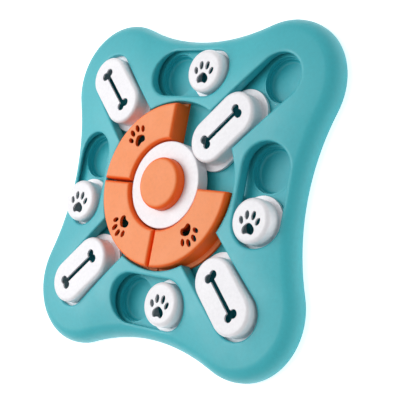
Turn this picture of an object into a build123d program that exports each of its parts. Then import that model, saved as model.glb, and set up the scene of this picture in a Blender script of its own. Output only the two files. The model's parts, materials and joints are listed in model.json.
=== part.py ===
from build123d import *
from math import atan2, degrees, hypot, sqrt
import os

# Dog puzzle feeder: a pillow-shaped board with sliding and turning treat covers round
# a squeaking push button. Millimetres. The origin is on the table under the middle of
# the button, +Z is up, and +Y points to the side that carries paw_slider_top.

# Board outline: four round corners joined by four hollow sides, set off from the slots
corner_radius = 47.0
corner_margin = 25.7
waist_margin = 8.7

# Board section
foot_drop = 1.2
skirt_flat = 0.5
crown_drop = 10.4
crown_power = 3
crown_steps = (1.0, 0.88, 0.76, 0.64, 0.5, 0.35)
edge_round = 11.0
shell_wall = 2.4
shell_rim = 2.4
slot_edge_round = 0.6

# Round channel, and the slots that the sliders run in
channel_gap = 2.1
slot_land = 3.9

# Groove under the slot lips, where every flange runs
flange_thickness = 2.4
flange_hold = 0.9
slide_gap = 0.3
groove_gap = 0.5

# Tray, and the treat cups that sit in its holes
tray_inset = 6.5
tray_wall = 2.0
tray_plate = 2.0
tray_foot_height = 2.0
tray_foot_gap = 0.4
well_radius = 16.5
well_ledge = 1.6
well_bridge = 4.2
well_depth = 7.0
well_step = 0.7
well_step_depth = 3.2
well_floor_round = 2.0
well_wall = 1.3
well_lift = 0.5
cup_gap = 0.1
rib_width = 1.6
rib_depth = 4.0

# Feet
foot_radius = 8.0
foot_recess = 1.0
foot_margin = 15.3
foot_boss_wall = 1.5
foot_clearance = 0.2
foot_round = 0.6

# Screws
screw_radius = 1.5
screw_head_radius = 3.0
screw_head_height = 1.8
screw_grip = 5.0
screw_clearance = 0.2
thread_clearance = 0.02
screw_socket = 1.2
screw_head_round = 0.6
collar_wall = 1.4
collar_height = 3.0
boss_wall = 2.6
tray_screw_margin = 25.7
tray_screw_angle = 24.7
hub_screw_margin = 3.4

# Orange quarter blocks
block_outer_radius = 60.3
block_hold = 1.0
block_rise = 2.4
block_wall = 2.0
block_top = 2.6
block_seam = 1.8
block_round = 2.4
block_seat_gap = 0.3
block_paw_circle = 48.0
block_paw_size = 0.98

# Hub
hub_sink = 0.1
hub_top = 2.4
hub_wall = 2.4
hub_round = 0.8
hub_skirt_gap = 0.6
hub_skirt_room = 5.05
hub_seat_margin = 2.8
hub_seat_height = 6.0
hub_tube_wall = 2.0
hub_block_gap = 1.2

# Squeak button
button_radius = 19.0
button_rise = 7.2
button_gap = 0.3
button_top = 2.6
button_wall = 2.2
button_lip = 1.5
button_lip_height = 2.0
button_round = 3.2

# Squeaker
bellows_room = 1.8
bellows_fold = 2.5
bellows_wall = 1.0
bellows_folds = 3
bellows_gap = 0.3
reed_radius = 4.0
reed_flange = 2.0
reed_flange_height = 1.0
reed_height = 4.0
reed_bore = 1.2
reed_clearance = 0.1

# Bone sliders
bone_half_length = 13.2
bone_play = 1.6
bone_rise = 1.1
bone_wall = 2.2
bone_top = 1.5
bone_round = 2.6
bone_hub_gap = 0.3
bone_seat_gap = 0.35
bone_block_gap = 2.55
bone_stop_gap = 1.15
bone_slack_upper_left = 2.25
bone_slack_lower_left = 0.35
bone_hole_half_length = 16.3
bone_hole_lobe = 3.2
bone_hole_spread = 2.4
bone_hole_shank = 3.6

# Paw sliders
paw_play = 2.3
paw_rise = 1.8
paw_wall = 2.2
paw_top = 1.5
paw_round = 3.2
paw_size = 1.0
paw_shift = 1.5

# Levels
skirt_z = foot_drop
board_height = crown_drop + edge_round + skirt_flat
face_z = skirt_z + board_height
floor_z = skirt_z + well_lift + well_wall + well_depth
plate_z = floor_z - tray_plate
flange_z = floor_z + slide_gap
flange_top_z = flange_z + flange_thickness
lip_z = flange_top_z + slide_gap
block_top_z = face_z + block_rise
bone_top_z = face_z + bone_rise
paw_top_z = face_z + paw_rise
hub_top_z = face_z - hub_sink
hub_skirt_z = flange_top_z + hub_skirt_gap
button_top_z = hub_top_z + button_rise
hub_plate_z = hub_top_z - hub_top
button_lip_z = hub_plate_z - button_gap - button_lip_height
well_z = floor_z - well_depth
bellows_z = floor_z + bellows_gap
bellows_top_z = button_top_z - button_top - bellows_gap

# Sizes in plan, from the middle outwards
tube_radius = button_radius + button_lip + button_gap
bellows_radius = button_radius - button_wall - bellows_room
hub_screw_circle = tube_radius + hub_screw_margin
hub_seat_radius = hub_screw_circle + hub_seat_margin
hub_radius = hub_seat_radius + hub_skirt_room
block_inner_radius = hub_radius + hub_block_gap
channel_radius = block_outer_radius + channel_gap
block_flange_radius = channel_radius + block_hold
slot_half_width = well_radius + well_ledge
flange_radius = slot_half_width + flange_hold
groove_reach = flange_hold + groove_gap
bone_radius = slot_half_width - bone_play
paw_radius = slot_half_width - paw_play
bone_inner_stop = hub_radius + bone_hub_gap + bone_radius + bone_half_length
bone_flange_half_length = bone_inner_stop - hub_seat_radius - bone_seat_gap - flange_radius
bone_outer_stop = block_flange_radius + bone_block_gap + flange_radius + bone_flange_half_length
diagonal_slot_reach = bone_outer_stop + bone_half_length + bone_stop_gap
side_slot_offset = channel_radius + slot_land + slot_half_width
side_slot_half_travel = well_radius + well_bridge / 2
board_reach = diagonal_slot_reach + slot_half_width + corner_margin
board_waist = side_slot_offset + slot_half_width + waist_margin
foot_spot = board_reach - foot_margin
tray_screw_circle = side_slot_offset + tray_screw_margin
boss_radius = screw_radius + boss_wall
collar_radius = screw_head_radius + screw_clearance
rib_inner_ring = hub_radius
rib_outer_ring = side_slot_offset - well_radius - well_wall

# Places in plan
corner_centre = (board_reach - corner_radius) / sqrt(2)
corner_to_waist = board_waist - corner_centre
side_radius = (corner_radius**2 - corner_to_waist**2 - corner_centre**2) / (
    2 * (corner_to_waist - corner_radius)
)
side_centre = board_waist + side_radius
side_well_circle = hypot(side_slot_offset, side_slot_half_travel)
side_well_angle = degrees(atan2(side_slot_half_travel, side_slot_offset))
foot_places = {
    "foot_upper_right": 45,
    "foot_upper_left": 135,
    "foot_lower_left": 225,
    "foot_lower_right": 315,
}
block_places = {"block_upper_left": 90, "block_lower_left": 180, "block_lower_right": 270}
bone_places = {
    "bone_slider_upper_right": (45, bone_inner_stop),
    "bone_slider_upper_left": (135, bone_outer_stop - bone_slack_upper_left),
    "bone_slider_lower_left": (225, bone_outer_stop - bone_slack_lower_left),
    "bone_slider_lower_right": (315, bone_outer_stop),
}
paw_places = {
    "paw_slider_top": (side_slot_half_travel, side_slot_offset),
    "paw_slider_right": (side_slot_offset, -side_slot_half_travel),
    "paw_slider_bottom": (side_slot_half_travel, -side_slot_offset),
    "paw_slider_left": (-side_slot_offset, -side_slot_half_travel),
}

os.makedirs("parts", exist_ok=True)


def outline(scale, inset):
    """Board outline in the open sketch, scaled about the middle or moved inwards."""
    corner = corner_radius - inset
    side = side_radius + inset
    middle = Vector(corner_centre, corner_centre)
    start = middle + (Vector(side_centre, 0) - middle) * (corner / (side + corner))
    tip = middle + Vector(corner, corner) / sqrt(2)
    end = Vector(start.Y, start.X)
    waist = Vector(0, board_waist - inset)
    with BuildLine() as edge:
        for turn in (0, 90, 180, 270):
            a, b, c, d = [p.rotate(Axis.Z, turn) * scale for p in (start, tip, end, waist)]
            e = start.rotate(Axis.Z, turn + 90) * scale
            ThreePointArc(a, b, c)
            ThreePointArc(c, d, e)
    make_face(edge.edges())


def pillow(inset, top_z, bottom_z):
    """Solid pillow with a straight skirt, a crowned top and a rounded top edge."""
    rim_z = top_z - crown_drop
    with BuildPart() as crown:
        for step in crown_steps:
            with BuildSketch(Plane.XY.offset(top_z - crown_drop * step**crown_power)):
                outline(step, inset)
        loft()
    with BuildPart() as body:
        with BuildSketch(Plane.XY.offset(bottom_z)):
            outline(1, inset)
        extrude(amount=rim_z - bottom_z)
        add(crown.part)
        rim = body.edges().filter_by(lambda edge: abs(edge.center().Z - rim_z) < 0.01)
        fillet(rim, radius=edge_round - inset)
    return body.part


def slot_plan(growth):
    """Channel and slots in the open sketch, each widened by a growth."""
    Circle(channel_radius + growth)
    with PolarLocations(diagonal_slot_reach / 2, 4, start_angle=45):
        SlotCenterToCenter(diagonal_slot_reach, 2 * (slot_half_width + growth))
    with PolarLocations(side_slot_offset, 4):
        SlotCenterToCenter(2 * side_slot_half_travel, 2 * (slot_half_width + growth), rotation=90)


def well_plan(radius):
    """The twelve treat wells in the open sketch."""
    with PolarLocations(diagonal_slot_reach, 4, start_angle=45):
        Circle(radius)
    for angle in (-side_well_angle, side_well_angle):
        with PolarLocations(side_well_circle, 4, start_angle=angle):
            Circle(radius)


def tray_screw_plan(radius):
    """The eight screw spots of the tray in the open sketch."""
    for angle in (-tray_screw_angle, tray_screw_angle):
        with PolarLocations(tray_screw_circle, 4, start_angle=angle):
            Circle(radius)


def hub_screw_plan(radius):
    """The four screw spots of the hub in the open sketch."""
    with PolarLocations(hub_screw_circle, 4):
        Circle(radius)


def paw_plan(size):
    """Paw print in the open sketch: a heel pad and four toes towards +Y."""
    with BuildLine() as pad:
        Spline(
            (0, -0.1 * size),
            (3.3 * size, -1.7 * size),
            (5.2 * size, -5.4 * size),
            (3.4 * size, -8.0 * size),
            (0, -7.3 * size),
            (-3.4 * size, -8.0 * size),
            (-5.2 * size, -5.4 * size),
            (-3.3 * size, -1.7 * size),
            periodic=True,
        )
    make_face(pad.edges())
    for side in (-1, 1):
        with Locations((side * 2.8 * size, 5.0 * size)):
            Ellipse(1.9 * size, 3.2 * size, rotation=-6 * side)
        with Locations((side * 7.0 * size, 1.2 * size)):
            Ellipse(1.8 * size, 2.85 * size, rotation=-24 * side)


def bone_plan():
    """Bone in the open sketch, along X."""
    Rectangle(2 * bone_hole_half_length, bone_hole_shank)
    with GridLocations(2 * bone_hole_half_length, 2 * bone_hole_spread, 2, 2):
        Circle(bone_hole_lobe)


def quarter_plan(inner, outer, end):
    """Quarter ring in the open sketch, with its ends moved in from the axes."""
    Circle(outer)
    Circle(inner, mode=Mode.SUBTRACT)
    with Locations((end, end)):
        Rectangle(outer, outer, align=(Align.MIN, Align.MIN), mode=Mode.INTERSECT)


def foot_plan(radius):
    """The four feet in the open sketch."""
    with PolarLocations(foot_spot, 4, start_angle=45):
        Circle(radius)


def rib_plan():
    """Two ring ribs and eight spokes under the tray, in the open sketch."""
    for ring in (rib_inner_ring, rib_outer_ring):
        Circle(ring)
        Circle(ring - rib_width, mode=Mode.SUBTRACT)
    with PolarLocations((rib_inner_ring + rib_outer_ring) / 2, 8):
        Rectangle(rib_outer_ring - rib_inner_ring + rib_width, rib_width)


def bellows_plan(radius, low_z, high_z):
    """Half section of the folded bulb in the open sketch."""
    fold = (bellows_top_z - bellows_z) / (2 * bellows_folds)
    crests = [
        (radius - bellows_fold * ((step + 1) % 2), bellows_z + step * fold)
        for step in range(1, 2 * bellows_folds)
    ]
    ends = radius - bellows_fold
    with BuildLine() as wall:
        Polyline((0, low_z), (ends, low_z), *crests, (ends, high_z), (0, high_z), close=True)
    make_face(wall.edges())


def polar_plane(height, reach, turn, twist=0):
    """Level plane at a polar place, with its X axis outwards and then twisted."""
    spot = Vector(reach, 0).rotate(Axis.Z, turn)
    x_dir = Vector(1, 0).rotate(Axis.Z, turn + twist)
    return Plane(origin=(spot.X, spot.Y, height), x_dir=x_dir, z_dir=(0, 0, 1))


# Top shell: crowned skin, rims round the channel and slots, and the tray screw bosses
skin = pillow(0, face_z, skirt_z)
hollow = pillow(shell_wall, face_z - shell_wall, skirt_z - shell_wall)

with BuildPart() as rims:
    with BuildSketch(Plane.XY.offset(lip_z)):
        slot_plan(shell_rim)
    extrude(amount=board_height)
    with BuildSketch(Plane.XY.offset(floor_z)):
        tray_screw_plan(boss_radius)
    extrude(amount=board_height)
    add(skin, mode=Mode.INTERSECT)

with BuildPart() as top_shell:
    add(skin)
    add(hollow, mode=Mode.SUBTRACT)
    add(rims.part)
    with BuildSketch(Plane.XY.offset(skirt_z)):
        slot_plan(groove_reach)
    extrude(amount=lip_z - skirt_z, mode=Mode.SUBTRACT)
    with BuildSketch(Plane.XY.offset(lip_z)):
        slot_plan(0)
    extrude(amount=board_height, mode=Mode.SUBTRACT)
    face_edges = top_shell.edges(Select.LAST).filter_by(lambda edge: edge.center().Z > lip_z + 1)
    fillet(face_edges.filter_by(Axis.Z, reverse=True), radius=slot_edge_round)
    with BuildSketch(Plane.XY.offset(floor_z)):
        tray_screw_plan(screw_radius + thread_clearance)
    extrude(amount=screw_grip + screw_clearance, mode=Mode.SUBTRACT)
top_shell.part.label = "top_shell"
export_step(top_shell.part, "parts/top_shell.step")

# Tray: slot floor with a hole for each cup, ribs, screw collars and bosses for the feet
with BuildPart() as tray:
    with BuildSketch(Plane.XY.offset(skirt_z)):
        outline(1, tray_inset)
    extrude(amount=floor_z - skirt_z)
    with BuildSketch(Plane.XY.offset(skirt_z)):
        outline(1, tray_inset + tray_wall)
    extrude(amount=plate_z - skirt_z, mode=Mode.SUBTRACT)
    with BuildSketch(Plane.XY.offset(skirt_z)):
        outline(1, shell_wall + tray_foot_gap)
    extrude(amount=tray_foot_height)
    with BuildSketch(Plane.XY.offset(skirt_z)):
        outline(1, tray_inset + tray_wall)
    extrude(amount=tray_foot_height, mode=Mode.SUBTRACT)
    with BuildSketch(Plane.XY.offset(skirt_z)):
        foot_plan(foot_radius + foot_boss_wall)
    extrude(amount=plate_z - skirt_z)
    with BuildSketch(Plane.XY.offset(plate_z - rib_depth)):
        rib_plan()
    extrude(amount=rib_depth)
    with BuildSketch(Plane.XY.offset(plate_z - collar_height)):
        tray_screw_plan(collar_radius + collar_wall)
        hub_screw_plan(collar_radius + collar_wall)
    extrude(amount=collar_height)
    with BuildSketch(Plane.XY.offset(plate_z)):
        well_plan(well_radius + well_wall + cup_gap)
    extrude(amount=tray_plate, mode=Mode.SUBTRACT)
    with BuildSketch(Plane.XY.offset(plate_z - collar_height)):
        tray_screw_plan(collar_radius)
        hub_screw_plan(collar_radius)
    extrude(amount=collar_height, mode=Mode.SUBTRACT)
    with BuildSketch(Plane.XY.offset(plate_z)):
        tray_screw_plan(screw_radius + screw_clearance)
        hub_screw_plan(screw_radius + screw_clearance)
        Circle(reed_radius + reed_clearance)
    extrude(amount=tray_plate, mode=Mode.SUBTRACT)
    with BuildSketch(Plane.XY.offset(skirt_z)):
        foot_plan(foot_radius + foot_clearance)
    extrude(amount=foot_recess, mode=Mode.SUBTRACT)
tray.part.label = "tray"
export_step(tray.part, "parts/tray.step")

# Treat cups: twelve stepped cups, flush with the slot floor
with BuildPart() as treat_cups:
    with BuildSketch(Plane.XY.offset(well_z - well_wall)):
        well_plan(well_radius + well_wall)
    extrude(amount=well_depth + well_wall)
    with BuildSketch(Plane.XY.offset(floor_z - well_step_depth)):
        well_plan(well_radius)
    extrude(amount=well_step_depth, mode=Mode.SUBTRACT)
    with BuildSketch(Plane.XY.offset(well_z)):
        well_plan(well_radius - well_step)
    extrude(amount=well_depth - well_step_depth, mode=Mode.SUBTRACT)
    well_floors = treat_cups.faces().filter_by(lambda face: abs(face.center().Z - well_z) < 0.01)
    fillet(well_floors.edges(), radius=well_floor_round)
treat_cups.part.label = "treat_cups"
export_step(treat_cups.part, "parts/treat_cups.step")

# Hub: white cap with a skirt, a tube that guides the button and a screwed seat
with BuildPart() as hub:
    with BuildSketch(Plane.XY.offset(hub_skirt_z)):
        Circle(hub_radius)
    extrude(amount=hub_top_z - hub_skirt_z)
    fillet(hub.faces().sort_by(Axis.Z)[-1].edges(), radius=hub_round)
    with BuildSketch(Plane.XY.offset(hub_skirt_z)):
        Circle(hub_radius - hub_wall)
    extrude(amount=hub_plate_z - hub_skirt_z, mode=Mode.SUBTRACT)
    with BuildSketch(Plane.XY.offset(floor_z)):
        Circle(hub_seat_radius)
    extrude(amount=hub_seat_height)
    with BuildSketch(Plane.XY.offset(floor_z)):
        Circle(tube_radius + hub_tube_wall)
    extrude(amount=hub_plate_z - floor_z)
    with BuildSketch(Plane.XY.offset(floor_z)):
        Circle(tube_radius)
    extrude(amount=hub_plate_z - floor_z, mode=Mode.SUBTRACT)
    with BuildSketch(Plane.XY.offset(hub_plate_z)):
        Circle(button_radius + button_gap)
    extrude(amount=hub_top, mode=Mode.SUBTRACT)
    with BuildSketch(Plane.XY.offset(floor_z)):
        hub_screw_plan(screw_radius + thread_clearance)
    extrude(amount=screw_grip + screw_clearance, mode=Mode.SUBTRACT)
hub.part.label = "hub"
export_step(hub.part, "parts/hub.step")

# Squeak button: hollow cap whose lip is held under the hub's top
with BuildPart() as squeak_button:
    with BuildSketch(Plane.XY.offset(button_lip_z)):
        Circle(button_radius)
    extrude(amount=button_top_z - button_lip_z)
    fillet(squeak_button.faces().sort_by(Axis.Z)[-1].edges(), radius=button_round)
    with BuildSketch(Plane.XY.offset(button_lip_z)):
        Circle(button_radius + button_lip)
    extrude(amount=button_lip_height)
    with BuildSketch(Plane.XY.offset(button_lip_z)):
        Circle(button_radius - button_wall)
    extrude(amount=button_top_z - button_top - button_lip_z, mode=Mode.SUBTRACT)
squeak_button.part.label = "squeak_button"
export_step(squeak_button.part, "parts/squeak_button.step")

# Squeaker: folded bellows between the tray and the button, and the reed at its foot
with BuildPart() as squeaker_bellows:
    with BuildSketch(Plane.XZ):
        bellows_plan(bellows_radius, bellows_z, bellows_top_z)
    revolve(axis=Axis.Z)
    with BuildSketch(Plane.XZ):
        bellows_plan(
            bellows_radius - bellows_wall, bellows_z + bellows_wall, bellows_top_z - bellows_wall
        )
    revolve(axis=Axis.Z, mode=Mode.SUBTRACT)
    with BuildSketch(Plane.XY.offset(bellows_z)):
        Circle(reed_radius + reed_flange + bellows_gap)
    extrude(amount=bellows_wall, mode=Mode.SUBTRACT)
squeaker_bellows.part.label = "squeaker_bellows"
export_step(squeaker_bellows.part, "parts/squeaker_bellows.step")

with BuildPart() as squeaker_reed:
    with BuildSketch(Plane.XY.offset(plate_z)):
        Circle(reed_radius)
    extrude(amount=tray_plate + reed_height)
    with BuildSketch(Plane.XY.offset(floor_z)):
        Circle(reed_radius + reed_flange)
    extrude(amount=reed_flange_height)
    with BuildSketch(Plane.XY.offset(plate_z)):
        Circle(reed_bore)
    extrude(amount=tray_plate + reed_height, mode=Mode.SUBTRACT)
squeaker_reed.part.label = "squeaker_reed"
export_step(squeaker_reed.part, "parts/squeaker_reed.step")

# Fasteners: one node for each size of screw joint
for screw_name, screw_plan in (("tray_screws", tray_screw_plan), ("hub_screws", hub_screw_plan)):
    with BuildPart() as screws:
        with BuildSketch(Plane.XY.offset(plate_z - screw_head_height)):
            screw_plan(screw_head_radius)
        extrude(amount=screw_head_height)
        heads = screws.faces().sort_by(Axis.Z).group_by(Axis.Z)[0]
        fillet(heads.edges(), radius=screw_head_round)
        with BuildSketch(Plane.XY.offset(plate_z)):
            screw_plan(screw_radius)
        extrude(amount=tray_plate + screw_grip)
        with BuildSketch(Plane.XY.offset(plate_z - screw_head_height)):
            screw_plan(screw_socket)
        extrude(amount=screw_head_height / 2, mode=Mode.SUBTRACT)
    screws.part.label = screw_name
    export_step(screws.part, f"parts/{screw_name}.step")

# Feet: soft discs glued into the corner bosses
for foot_name, foot_turn in foot_places.items():
    with BuildPart() as foot:
        with BuildSketch(polar_plane(0, foot_spot, foot_turn)):
            Circle(foot_radius)
        extrude(amount=skirt_z + foot_recess)
        fillet(foot.faces().sort_by(Axis.Z)[0].edges(), radius=foot_round)
    foot.part.label = foot_name
    export_step(foot.part, f"parts/{foot_name}.step")

# Orange blocks: hollow quarter rings, with flanges under the shell's rim and the hub's skirt
for block_name, block_turn in block_places.items():
    with BuildPart() as block:
        with BuildSketch(polar_plane(flange_z, 0, block_turn)):
            quarter_plan(block_inner_radius, block_outer_radius, block_seam / 2)
        extrude(amount=block_top_z - flange_z)
        fillet(block.faces().sort_by(Axis.Z)[-1].edges(), radius=block_round)
        with BuildSketch(polar_plane(flange_z, 0, block_turn)):
            quarter_plan(hub_seat_radius + block_seat_gap, block_flange_radius, block_seam / 2)
        extrude(amount=flange_thickness)
        with BuildSketch(polar_plane(flange_z, 0, block_turn)):
            quarter_plan(
                block_inner_radius + block_wall,
                block_outer_radius - block_wall,
                block_seam / 2 + block_wall,
            )
        extrude(amount=block_top_z - block_top - flange_z, mode=Mode.SUBTRACT)
        with BuildSketch(polar_plane(flange_z, block_paw_circle, block_turn + 45, -90)):
            paw_plan(block_paw_size)
        extrude(amount=block_top_z - flange_z, mode=Mode.SUBTRACT)
    block.part.label = block_name
    export_step(block.part, f"parts/{block_name}.step")

# Bone sliders: hollow covers with a bone-shaped window and a flange under the slot lips
for bone_name, (bone_turn, bone_spot) in bone_places.items():
    with BuildPart() as bone:
        with BuildSketch(polar_plane(flange_z, bone_spot, bone_turn)):
            SlotCenterToCenter(2 * bone_half_length, 2 * bone_radius)
        extrude(amount=bone_top_z - flange_z)
        fillet(bone.faces().sort_by(Axis.Z)[-1].edges(), radius=bone_round)
        with BuildSketch(polar_plane(flange_z, bone_spot, bone_turn)):
            SlotCenterToCenter(2 * bone_flange_half_length, 2 * flange_radius)
        extrude(amount=flange_thickness)
        with BuildSketch(polar_plane(flange_z, bone_spot, bone_turn)):
            SlotCenterToCenter(2 * bone_half_length, 2 * (bone_radius - bone_wall))
        extrude(amount=bone_top_z - bone_top - flange_z, mode=Mode.SUBTRACT)
        with BuildSketch(polar_plane(flange_z, bone_spot, bone_turn)):
            bone_plan()
        extrude(amount=bone_top_z - flange_z, mode=Mode.SUBTRACT)
    bone.part.label = bone_name
    export_step(bone.part, f"parts/{bone_name}.step")

# Paw sliders: round hollow covers with a paw-shaped window and the same kind of flange
for paw_name, (paw_x, paw_y) in paw_places.items():
    with BuildPart() as paw:
        with BuildSketch(Plane((paw_x, paw_y, flange_z))):
            Circle(paw_radius)
        extrude(amount=paw_top_z - flange_z)
        fillet(paw.faces().sort_by(Axis.Z)[-1].edges(), radius=paw_round)
        with BuildSketch(Plane((paw_x, paw_y, flange_z))):
            Circle(flange_radius)
        extrude(amount=flange_thickness)
        with BuildSketch(Plane((paw_x, paw_y, flange_z))):
            Circle(paw_radius - paw_wall)
        extrude(amount=paw_top_z - paw_top - flange_z, mode=Mode.SUBTRACT)
        with BuildSketch(Plane((paw_x, paw_y - paw_shift, flange_z))):
            paw_plan(paw_size)
        extrude(amount=paw_top_z - flange_z, mode=Mode.SUBTRACT)
    paw.part.label = paw_name
    export_step(paw.part, f"parts/{paw_name}.step")
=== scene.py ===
import json
import math
import bmesh
import bpy
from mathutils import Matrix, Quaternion, Vector


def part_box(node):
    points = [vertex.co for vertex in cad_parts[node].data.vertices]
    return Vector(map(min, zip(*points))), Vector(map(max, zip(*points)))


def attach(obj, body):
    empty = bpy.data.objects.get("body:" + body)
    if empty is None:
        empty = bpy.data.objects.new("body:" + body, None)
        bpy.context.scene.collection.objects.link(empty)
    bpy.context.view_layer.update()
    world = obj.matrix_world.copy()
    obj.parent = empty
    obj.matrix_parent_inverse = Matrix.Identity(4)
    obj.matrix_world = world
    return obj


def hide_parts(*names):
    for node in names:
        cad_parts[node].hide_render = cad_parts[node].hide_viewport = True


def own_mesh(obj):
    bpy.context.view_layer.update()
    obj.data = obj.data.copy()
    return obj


# Dog puzzle feeder: looks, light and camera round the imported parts. Metres, in the parts' frame.
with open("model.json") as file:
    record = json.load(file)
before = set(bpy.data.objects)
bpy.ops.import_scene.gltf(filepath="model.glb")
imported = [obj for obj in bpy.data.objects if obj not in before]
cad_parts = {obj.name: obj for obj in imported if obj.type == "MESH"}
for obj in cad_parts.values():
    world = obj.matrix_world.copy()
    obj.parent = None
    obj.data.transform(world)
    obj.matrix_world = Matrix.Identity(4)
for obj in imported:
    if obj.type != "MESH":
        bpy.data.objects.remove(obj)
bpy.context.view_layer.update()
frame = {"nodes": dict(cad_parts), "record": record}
SLOT_OF = {row["node"]: row["material_slot"] for row in frame["record"]["subparts"]}

# Camera, as the toy was photographed: from the +X side, with the camera rolled
CAMERA_PLACE = (0.5033, -0.0704, 0.5460)
CAMERA_AIM = (0.0453, -0.0049, 0.0231)
CAMERA_ROLL = math.radians(-73.29)
CAMERA_LENS = 87.74
CAMERA_SENSOR = 36.0
CAMERA_SHIFT = (-0.0057, -0.0289)

# Light
AMBIENT = 0.36
FLOOR_GLOW = 0.9
BACKGROUND_LIFT = 0.65
FLOOR_COLOUR = (0.86, 0.86, 0.87, 1)
FLOOR_SIZE = 6.0
# Each lamp's place, width and power
KEY_LAMP = ((-0.84, 0.0, 1.10), 1.3, 14.2)
RIM_LAMP = ((1.2, 0.20, 0.10), 1.3, 1.2)

# Finishes, each tone as a pale and a deep one
TEAL = ((0.037, 0.475, 0.543, 1), (0.027, 0.418, 0.485, 1))
ORANGE = ((1.000, 0.332, 0.124, 1), (0.985, 0.305, 0.104, 1))
# Painted shade: upright orange faces take this deeper, darker tone instead of the plain orange, standing in
# for the shade on the walls
ORANGE_SIDE_SHADE = (1.000, 0.140, 0.008, 1)
ORANGE_SIDE_SHADE_START = 0.75
WHITE = ((0.925, 0.912, 0.945, 1), (0.900, 0.887, 0.920, 1))
EDGE_SOFTNESS = 0.003
EDGE_SAMPLES = 8
PLASTIC_GRAIN = 0.00006
STEEL_PALE = (0.720, 0.720, 0.740, 1)
STEEL_DEEP = (0.480, 0.480, 0.500, 1)
RUBBER_PALE = (0.060, 0.064, 0.068, 1)
RUBBER_DEEP = (0.025, 0.027, 0.030, 1)
VINYL_PALE = (0.880, 0.860, 0.800, 1)
VINYL_DEEP = (0.780, 0.750, 0.680, 1)

# Squeaker bulb
BULB_FOLDS = 3
BULB_FOLD_DEPTH = 0.0025
BULB_WALL = 0.001
BULB_MOUTH_GAP = 0.0003
BULB_RINGS = 36
BULB_SIDES = 64


class Nodes:
    """Short calls for one material's node tree."""

    def __init__(self, name):
        self.material = bpy.data.materials.new(name)
        self.material.use_nodes = True
        self.tree = self.material.node_tree
        self.shader = self.tree.nodes["Principled BSDF"]
        self.place = self.add("ShaderNodeTexCoord").outputs["Object"]

    def add(self, kind, **values):
        node = self.tree.nodes.new(kind)
        for key, value in values.items():
            setattr(node, key, value)
        return node

    def link(self, start, end):
        self.tree.links.new(start, end)

    def noise(self, scale, detail=2.0, roughness=0.5, stretch=None):
        node = self.add("ShaderNodeTexNoise")
        node.inputs["Scale"].default_value = scale
        node.inputs["Detail"].default_value = detail
        node.inputs["Roughness"].default_value = roughness
        place = self.place
        if stretch:
            mapping = self.add("ShaderNodeMapping")
            mapping.inputs["Scale"].default_value = stretch
            self.link(self.place, mapping.inputs["Vector"])
            place = mapping.outputs["Vector"]
        self.link(place, node.inputs["Vector"])
        return node.outputs["Fac"]

    def spread(self, value, low, high, start=0.3, end=0.7):
        node = self.add("ShaderNodeMapRange")
        node.inputs["From Min"].default_value = start
        node.inputs["From Max"].default_value = end
        node.inputs["To Min"].default_value = low
        node.inputs["To Max"].default_value = high
        self.link(value, node.inputs["Value"])
        return node.outputs["Result"]

    def mix(self, factor, first, second, blend="MIX"):
        node = self.add("ShaderNodeMix", data_type="RGBA", blend_type=blend)
        for socket, value in ((0, factor), (6, first), (7, second)):
            if isinstance(value, bpy.types.NodeSocket):
                self.link(value, node.inputs[socket])
            else:
                node.inputs[socket].default_value = value
        return node.outputs[2]

    def bump(self, height, distance, strength=1.0, under=None):
        node = self.add("ShaderNodeBump")
        node.inputs["Strength"].default_value = strength
        node.inputs["Distance"].default_value = distance
        self.link(height, node.inputs["Height"])
        if under:
            self.link(under, node.inputs["Normal"])
        return node.outputs["Normal"]

    def rounding(self, radius):
        """Normal that runs smoothly over sharp edges."""
        node = self.add("ShaderNodeBevel", samples=EDGE_SAMPLES)
        node.inputs["Radius"].default_value = radius
        return node.outputs["Normal"]

    def finish(self, colour, roughness, normal):
        self.link(colour, self.shader.inputs["Base Color"])
        self.link(roughness, self.shader.inputs["Roughness"])
        self.link(normal, self.shader.inputs["Normal"])
        return self.material


def moulded_plastic(name, tones, rough, side=None, specular=0.6, soft_edge=0, relief=1.0):
    """Satin plastic: slow drift of tone, fine mottling, an eroded grain and faint sink waves.

    Where a side tone is given, upright faces take that deeper, darker tone as painted shade, and the paler
    tops stand for their sheen. A soft edge is the radius that sharp edges seem to have, and relief scales
    the grain and the waves.
    """
    pale, deep = tones
    nodes = Nodes(name)
    drift = nodes.spread(nodes.noise(11, 3), 0, 1)
    colour = nodes.mix(drift, deep, pale)
    if side:
        # Painted shade: faces that do not point steeply up take the deeper side tone, which fades into the
        # plain tone on flat tops
        facing = nodes.add("ShaderNodeSeparateXYZ")
        nodes.link(nodes.add("ShaderNodeTexCoord").outputs["Normal"], facing.inputs[0])
        colour = nodes.mix(nodes.spread(facing.outputs["Z"], 0, 1, ORANGE_SIDE_SHADE_START, 1.0), side, colour)
    fleck = nodes.spread(nodes.noise(420, 3, 0.6), 0.965, 1.035)
    flecks = nodes.add("ShaderNodeCombineColor")
    for socket in flecks.inputs:
        nodes.link(fleck, socket)
    colour = nodes.mix(1.0, colour, flecks.outputs[0], "MULTIPLY")
    roughness = nodes.spread(nodes.noise(70, 4, 0.6), rough - 0.06, rough + 0.07)
    rounding = nodes.rounding(soft_edge) if soft_edge else None
    waves = nodes.bump(nodes.noise(26, 1), 0.0006 * relief, 0.25, rounding)
    normal = nodes.bump(nodes.noise(1500, 2), PLASTIC_GRAIN * relief, 0.6, waves)
    nodes.shader.inputs["Specular IOR Level"].default_value = specular
    return nodes.finish(colour, roughness, normal)


def turned_steel(name):
    """Zinc-plated steel: drawn streaks and cloudy plating."""
    nodes = Nodes(name)
    streaks = nodes.noise(900, 4, 0.6, stretch=(1, 0.08, 1))
    colour = nodes.mix(nodes.spread(streaks, 0, 1), STEEL_DEEP, STEEL_PALE)
    roughness = nodes.spread(nodes.noise(240, 3), 0.24, 0.46)
    normal = nodes.bump(streaks, 0.00005, 0.5)
    nodes.shader.inputs["Metallic"].default_value = 1.0
    return nodes.finish(colour, roughness, normal)


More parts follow.
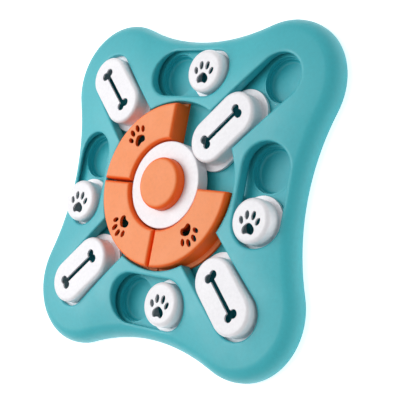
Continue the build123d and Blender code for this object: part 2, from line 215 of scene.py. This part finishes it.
def soft_rubber(name, pale, deep, rough, grain):
    """Soft moulded rubber: speckled bloom, pebbled skin."""
    nodes = Nodes(name)
    bloom = nodes.spread(nodes.noise(180, 5, 0.65), 0, 1)
    colour = nodes.mix(bloom, deep, pale)
    roughness = nodes.spread(nodes.noise(60, 3), rough - 0.08, rough + 0.08)
    normal = nodes.bump(nodes.noise(1100, 3), grain, 0.8)
    return nodes.finish(colour, roughness, normal)


FINISHES = {
    "board_turquoise": moulded_plastic("board_turquoise", TEAL, 0.40, soft_edge=EDGE_SOFTNESS),
    "tray_turquoise": moulded_plastic("tray_turquoise", TEAL, 0.36, specular=0.3),
    # The orange takes painted shade on its upright faces
    "orange_plastic": moulded_plastic("orange_plastic", ORANGE, 0.46, ORANGE_SIDE_SHADE, specular=0.3),
    "white_plastic": moulded_plastic("white_plastic", WHITE, 0.38, relief=0.4),
    "screw_steel": turned_steel("screw_steel"),
    "foot_rubber": soft_rubber("foot_rubber", RUBBER_PALE, RUBBER_DEEP, 0.75, 0.00015),
    "soft_bulb": soft_rubber("soft_bulb", VINYL_PALE, VINYL_DEEP, 0.5, 0.00005),
}

for node_name, node_object in frame["nodes"].items():
    node_object.data.materials.clear()
    node_object.data.materials.append(FINISHES[SLOT_OF[node_name]])


def make_bellows():
    """Soft bulb under the button: a thin wall in round folds, closed at the top and open round the reed."""
    low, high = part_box("squeaker_bellows")
    reed_low, reed_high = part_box("squeaker_reed")
    crest = high.x
    height = high.z - low.z
    outside = []
    for step in range(BULB_RINGS + 1):
        share = step / BULB_RINGS
        fold = 0.5 + 0.5 * math.cos(2 * math.pi * BULB_FOLDS * share)
        outside.append((crest - BULB_FOLD_DEPTH * fold, low.z + height * share))
    inside = [(radius - BULB_WALL, z) for radius, z in outside]
    inside[0] = (inside[0][0], low.z + BULB_WALL)
    inside[-1] = (inside[-1][0], high.z - BULB_WALL)
    mouth = reed_high.x + BULB_MOUTH_GAP
    profile = [(mouth, low.z), *outside, (0, high.z)]
    profile += [(0, high.z - BULB_WALL), *reversed(inside), (mouth, low.z + BULB_WALL)]
    mesh = bmesh.new()
    points = [mesh.verts.new((radius, 0, z)) for radius, z in profile]
    edges = [mesh.edges.new(pair) for pair in zip(points, points[1:] + points[:1])]
    bmesh.ops.spin(
        mesh,
        geom=points + edges,
        axis=(0, 0, 1),
        cent=(0, 0, 0),
        angle=2 * math.pi,
        steps=BULB_SIDES,
        use_merge=True,
    )
    bmesh.ops.remove_doubles(mesh, verts=mesh.verts, dist=1e-6)
    bmesh.ops.dissolve_degenerate(mesh, edges=mesh.edges, dist=1e-6)
    bmesh.ops.recalc_face_normals(mesh, faces=mesh.faces)
    data = bpy.data.meshes.new("squeaker_bulb")
    mesh.to_mesh(data)
    mesh.free()
    data.shade_smooth()
    data.materials.append(FINISHES["soft_bulb"])
    bulb = bpy.data.objects.new("squeaker_bulb", data)
    bpy.context.scene.collection.objects.link(bulb)
    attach(bulb, "board")
    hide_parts("squeaker_bellows")
    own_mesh(bulb)


def lit_share(tree):
    """One where the camera, a mirror or glass looks at the surface, and nought for light."""
    path = tree.nodes.new("ShaderNodeLightPath")
    share = path.outputs["Is Camera Ray"]
    for ray in ("Is Glossy Ray", "Is Transmission Ray"):
        either = tree.nodes.new("ShaderNodeMath")
        either.operation = "MAXIMUM"
        tree.links.new(share, either.inputs[0])
        tree.links.new(path.outputs[ray], either.inputs[1])
        share = either.outputs[0]
    return share


def make_world():
    """White to look at, and an even dim sky for the light on the toy."""
    world = bpy.data.worlds.new("studio")
    bpy.context.scene.world = world
    world.use_nodes = True
    tree = world.node_tree
    strength = tree.nodes.new("ShaderNodeMapRange")
    strength.inputs["To Min"].default_value = AMBIENT
    strength.inputs["To Max"].default_value = 1.0
    tree.links.new(lit_share(tree), strength.inputs["Value"])
    sky = tree.nodes["Background"]
    sky.inputs["Color"].default_value = (1, 1, 1, 1)
    tree.links.new(strength.outputs["Result"], sky.inputs["Strength"])


def make_floor():
    """Pale table under the feet: takes the shadow, and is lifted to white where it is looked at."""
    material = bpy.data.materials.new("table")
    material.use_nodes = True
    tree = material.node_tree
    shader = tree.nodes["Principled BSDF"]
    shader.inputs["Base Color"].default_value = FLOOR_COLOUR
    shader.inputs["Roughness"].default_value = 0.9
    shader.inputs["Emission Color"].default_value = (1, 1, 1, 1)
    lift = tree.nodes.new("ShaderNodeMapRange")
    lift.inputs["To Min"].default_value = FLOOR_GLOW
    lift.inputs["To Max"].default_value = BACKGROUND_LIFT
    tree.links.new(lit_share(tree), lift.inputs["Value"])
    tree.links.new(lift.outputs["Result"], shader.inputs["Emission Strength"])
    bpy.ops.mesh.primitive_plane_add(size=FLOOR_SIZE)
    floor = bpy.context.object
    floor.name = "table_top"
    floor.data.materials.append(material)


def lamp(name, place, size, power):
    """Round soft lamp that shines at the middle of the toy."""
    data = bpy.data.lights.new(name, "AREA")
    data.shape = "DISK"
    data.size = size
    data.energy = power
    light = bpy.data.objects.new(name, data)
    bpy.context.scene.collection.objects.link(light)
    light.location = place
    light.rotation_euler = (-Vector(place)).to_track_quat("-Z", "Y").to_euler()


def make_camera():
    data = bpy.data.cameras.new("camera")
    data.lens = CAMERA_LENS
    data.sensor_width = CAMERA_SENSOR
    data.shift_x, data.shift_y = CAMERA_SHIFT
    camera = bpy.data.objects.new("camera", data)
    bpy.context.scene.collection.objects.link(camera)
    look = Vector(CAMERA_AIM) - Vector(CAMERA_PLACE)
    level = look.to_track_quat("-Z", "Y")
    camera.rotation_mode = "QUATERNION"
    camera.rotation_quaternion = level @ Quaternion((0, 0, 1), CAMERA_ROLL)
    camera.location = CAMERA_PLACE
    bpy.context.scene.camera = camera


make_bellows()
make_world()
make_floor()
lamp("key", *KEY_LAMP)
lamp("rim", *RIM_LAMP)
make_camera()
bpy.context.scene.view_settings.view_transform = "Standard"
